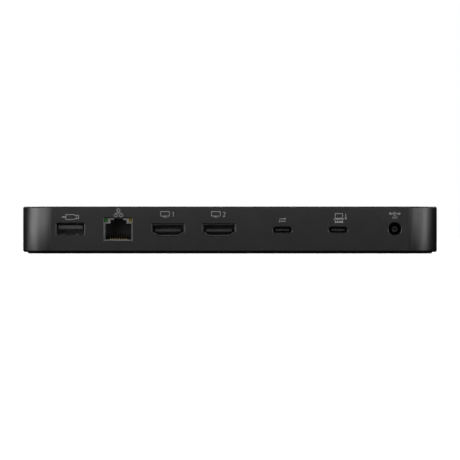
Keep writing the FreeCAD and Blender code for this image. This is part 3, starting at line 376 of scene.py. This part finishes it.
def digit_two(x, z, high):
    top = z + high / 2
    bow = ring(0.45, x, top - 0.45, 160.0, -35.0, 10)
    return [stroke(bow + [(x - 0.45, z - high / 2), (x + 0.5, z - high / 2)])]


def plug_mark(width):
    """Outline of a flat plug with two contact windows and a lead."""
    body = rectangle(width * 0.5, 2.2, -width * 0.02)
    nose = rectangle(width * 0.26, 1.5, width * 0.36)
    marks = [stroke(body, closed=True), stroke(nose, closed=True)]
    marks += [filled(rectangle(0.4, 0.35, width * 0.36, side * 0.36)) for side in (-1, 1)]
    marks.append(stroke([(-width * 0.27, 0.0), (-width * 0.5, 0.0)], 0.5))
    return marks


def screen_mark(number):
    """Screen on a stand, with its number beside it."""
    marks = [stroke(rectangle(4.0, 2.0, -1.4, 0.25), closed=True)]
    marks.append(stroke([(-1.4, -0.8), (-1.4, -1.2)]))
    marks.append(stroke([(-2.3, -1.2), (-0.5, -1.2)]))
    return marks + number(2.4, 0.0, 2.1)


def network_mark():
    """Three linked nodes."""
    nodes = [(0.0, 1.15), (-1.25, -1.15), (1.25, -1.15)]
    marks = [stroke(ring(0.72, x, z, steps=20), closed=True) for x, z in nodes]
    marks.append(stroke([(0.0, 0.43), (0.0, -0.1)]))
    marks.append(stroke([(-1.25, -0.43), (-1.25, -0.1), (1.25, -0.1), (1.25, -0.43)]))
    return marks


def link_mark():
    """Two opposite arrows."""
    return arrow(0.0, 0.55, 3.0, 1) + arrow(0.0, -0.55, 3.0, -1)


def laptop_mark():
    """Laptop outline with an arrow into it and a row of charge cells below."""
    marks = [stroke(rectangle(3.3, 2.1, 0.0, 0.6), closed=True)]
    marks.append(stroke([(-2.4, -0.85), (2.4, -0.85)], 0.34))
    marks += [filled(rectangle(0.75, 0.9, -1.5 + i, -2.1)) for i in range(4)]
    marks.append(stroke([(3.1, 1.5), (3.1, -0.9)]))
    marks.append(stroke([(2.6, -0.3), (3.1, -0.95), (3.6, -0.3)]))
    return marks


def inlet_mark():
    """Barrel-plug polarity sign over a direct-current sign."""
    marks = [stroke(ring(0.75, 0.0, 1.0, 50.0, 310.0, 18)), filled(ring(0.26, 0.0, 1.0, steps=14))]
    marks += [stroke([(-0.75, 1.0), (-1.5, 1.0)]), stroke([(0.26, 1.0), (1.5, 1.0)])]
    marks += [stroke(ring(0.42, side * 2.0, 1.0, steps=16), closed=True) for side in (-1, 1)]
    marks += [stroke([(side * 2.0 - 0.2, 1.0), (side * 2.0 + 0.2, 1.0)], 0.16) for side in (-1, 1)]
    marks.append(stroke([(2.0, 0.8), (2.0, 1.2)], 0.16))
    marks.append(stroke([(-1.1, -0.5), (1.1, -0.5)]))
    marks += [stroke([(x - 0.27, -1.05), (x + 0.27, -1.05)]) for x in (-0.82, 0.0, 0.82)]
    return marks


def audio_mark():
    """Headset: band and two ear pads."""
    marks = [stroke(ring(1.2, 0.0, -0.2, 0.0, 180.0, 16))]
    marks += [filled(rectangle(0.6, 1.1, side * 1.2, -0.7)) for side in (-1, 1)]
    return marks


def card_mark():
    """Memory card with a cut corner and three contacts."""
    marks = [stroke([(-1.1, -1.4), (1.1, -1.4), (1.1, 1.4), (-0.4, 1.4), (-1.1, 0.7)], closed=True)]
    marks += [stroke([(x, 0.4), (x, 1.0)]) for x in (-0.3, 0.2, 0.7)]
    return marks


def power_mark():
    """Standby sign: a broken ring and a bar."""
    return [stroke(ring(0.95, 0.0, 0.0, 125.0, 415.0, 22)), stroke([(0.0, 0.35), (0.0, 1.25)])]


def print_marks():
    """Prints a mark over each socket: its node, a shift along X and its height in millimetres."""
    pale = ink("printed_ink")
    rear = (
        ("mark_rear_data", "rear_data_port_shell", 0.0, 16.6, plug_mark(PLUG_MARK_WIDTH)),
        ("mark_network", "network_port_body", 0.0, 18.45, network_mark()),
        ("mark_video_1", "video_port_1_shell", 0.0, 17.8, screen_mark(digit_one)),
        ("mark_video_2", "video_port_2_shell", 0.0, 17.8, screen_mark(digit_two)),
        ("mark_link", "link_port_shell", 0.0, 15.2, link_mark()),
        ("mark_host", "host_port_shell", 0.4, 16.5, laptop_mark()),
        ("mark_inlet", "power_inlet_body", 0.0, 17.1, inlet_mark()),
    )
    front = (
        ("mark_front_data", "front_data_port_shell", 0.0, 16.6, plug_mark(PLUG_MARK_WIDTH)),
        ("mark_audio", "audio_jack_body", 0.0, 16.6, audio_mark()),
        ("mark_card", "card_slot_lid", 0.0, 14.0, card_mark()),
    )
    for marks, on_front in ((rear, False), (front, True)):
        for name, node, shift, height, strokes in marks:
            x, _ = centre_of(node)
            print_mark(name, x + shift, height, strokes, pale, front=on_front)
    x, z = centre_of("power_button_cap")
    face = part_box("power_button_lens")[1].y
    print_mark("mark_power", x, z + 0.4, power_mark(), pale, front=True, body="power_button", plane=face)


# ---------------------------------------------------------------------------------------------------
# Stage, light and camera
# ---------------------------------------------------------------------------------------------------
def stage_floor():
    """Plain pale surface, wide enough to fill the view, left open under the middle of the foot pad."""
    shader = Shader("pale_floor", (0.9, 0.9, 0.9), roughness=0.9, Specular_IOR_Level=0.1)
    mesh = bpy.data.meshes.new("floor")
    reach = 12.0
    inset = 0.004
    low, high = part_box("foot_pad")
    outer = [(-reach, -reach, 0.0), (reach, -reach, 0.0), (reach, reach, 0.0), (-reach, reach, 0.0)]
    inner = [(low.x + inset, low.y + inset, 0.0), (high.x - inset, low.y + inset, 0.0)]
    inner += [(high.x - inset, high.y - inset, 0.0), (low.x + inset, high.y - inset, 0.0)]
    mesh.from_pydata(outer + inner, [], [(0, 1, 5, 4), (1, 2, 6, 5), (2, 3, 7, 6), (3, 0, 4, 7)])
    mesh.materials.append(shader.material)
    floor = bpy.data.objects.new("floor", mesh)
    bpy.context.scene.collection.objects.link(floor)
    floor.visible_glossy = False


def soft_box(name, place, target, wide, high, power):
    """Rectangular area light of that size in metres and power in watts, turned to its target."""
    light = bpy.data.lights.new(name, "AREA")
    light.shape = "RECTANGLE"
    light.size = wide
    light.size_y = high
    light.energy = power
    lamp = bpy.data.objects.new(name, light)
    lamp.location = place
    lamp.rotation_euler = (Vector(target) - Vector(place)).to_track_quat("-Z", "Y").to_euler()
    bpy.context.scene.collection.objects.link(lamp)
    return lamp


def around(angle, distance, height):
    """Place at that distance from the dock, turned that many degrees from the rear wall's outward way."""
    turn = math.radians(angle)
    return (distance * math.sin(turn), -distance * math.cos(turn), height)


def room_light():
    """White backdrop for the camera; a dim room, darker behind the dock, for everything else."""
    world = bpy.data.worlds.new("room")
    world.use_nodes = True
    tree = world.node_tree
    nodes = tree.nodes
    backdrop = nodes["Background"]
    backdrop.inputs["Color"].default_value = (1.0, 1.0, 1.0, 1.0)
    backdrop.inputs["Strength"].default_value = 1.0
    room = nodes.new("ShaderNodeBackground")
    room.inputs["Color"].default_value = (1.0, 1.0, 1.0, 1.0)
    parts = nodes.new("ShaderNodeSeparateXYZ")
    tree.links.new(nodes.new("ShaderNodeTexCoord").outputs["Generated"], parts.inputs["Vector"])
    fade = nodes.new("ShaderNodeMapRange")
    fade.inputs["From Min"].default_value = -0.9
    fade.inputs["From Max"].default_value = 0.35
    fade.inputs["To Min"].default_value = 0.06
    fade.inputs["To Max"].default_value = 0.008
    tree.links.new(parts.outputs["Y"], fade.inputs["Value"])
    tree.links.new(fade.outputs["Result"], room.inputs["Strength"])
    mix = nodes.new("ShaderNodeMixShader")
    tree.links.new(nodes.new("ShaderNodeLightPath").outputs["Is Camera Ray"], mix.inputs["Fac"])
    tree.links.new(room.outputs["Background"], mix.inputs[1])
    tree.links.new(backdrop.outputs["Background"], mix.inputs[2])
    tree.links.new(mix.outputs["Shader"], nodes["World Output"].inputs["Surface"])
    bpy.context.scene.world = world


def light_stage():
    """A broad panel and a weaker fill on each side for the upright corners, a strip close in front of the
    rear wall whose light fades down it, and a sun from behind that whitens the floor."""
    room_light()
    middle = (0.0, 0.0, HIGH.z / 2)
    # degrees round, distance, height, width, tallness, power
    panels = {
        "left_panel": (-76, 0.9, 0.12, 0.6, 0.5, 5.6),
        "left_fill": (-35, 1.1, 0.2, 0.6, 0.4, 3.5),
        "right_panel": (70, 0.9, 0.12, 0.42, 0.5, 3.6),
        "right_fill": (32, 1.1, 0.2, 0.4, 0.4, 2.0),
    }
    for name, (angle, distance, height, wide, high, power) in panels.items():
        soft_box(name, around(angle, distance, height), middle, wide, high, power)
    soft_box("low_strip", (0.0, REAR_WALL - 0.038, 0.046), (0.0, REAR_WALL, 0.018), 0.3, 0.006, 0.034)
    backlight = bpy.data.lights.new("backlight", "SUN")
    backlight.energy = 5.2
    backlight.angle = math.radians(40)
    lamp = bpy.data.objects.new("backlight", backlight)
    lamp.rotation_euler = (math.radians(-50), 0.0, 0.0)
    bpy.context.scene.collection.objects.link(lamp)


def place_camera():
    """Level, square to the rear wall, far back."""
    distance = 8.0
    view_width = 0.2087
    camera = bpy.data.cameras.new("camera")
    camera.lens = camera.sensor_width * (distance + REAR_WALL) / view_width
    camera.clip_end = 50.0
    holder = bpy.data.objects.new("camera", camera)
    holder.location = (0.0, -distance, (LOW.z + HIGH.z) / 2)
    holder.rotation_euler = (math.radians(90), 0.0, 0.0)
    bpy.context.scene.collection.objects.link(holder)
    bpy.context.scene.camera = holder


paint_all()
soften("housing", EDGE_WIDTH)
print_marks()
stage_floor()
light_stage()
place_camera()
bpy.context.scene.view_settings.view_transform = "Standard"
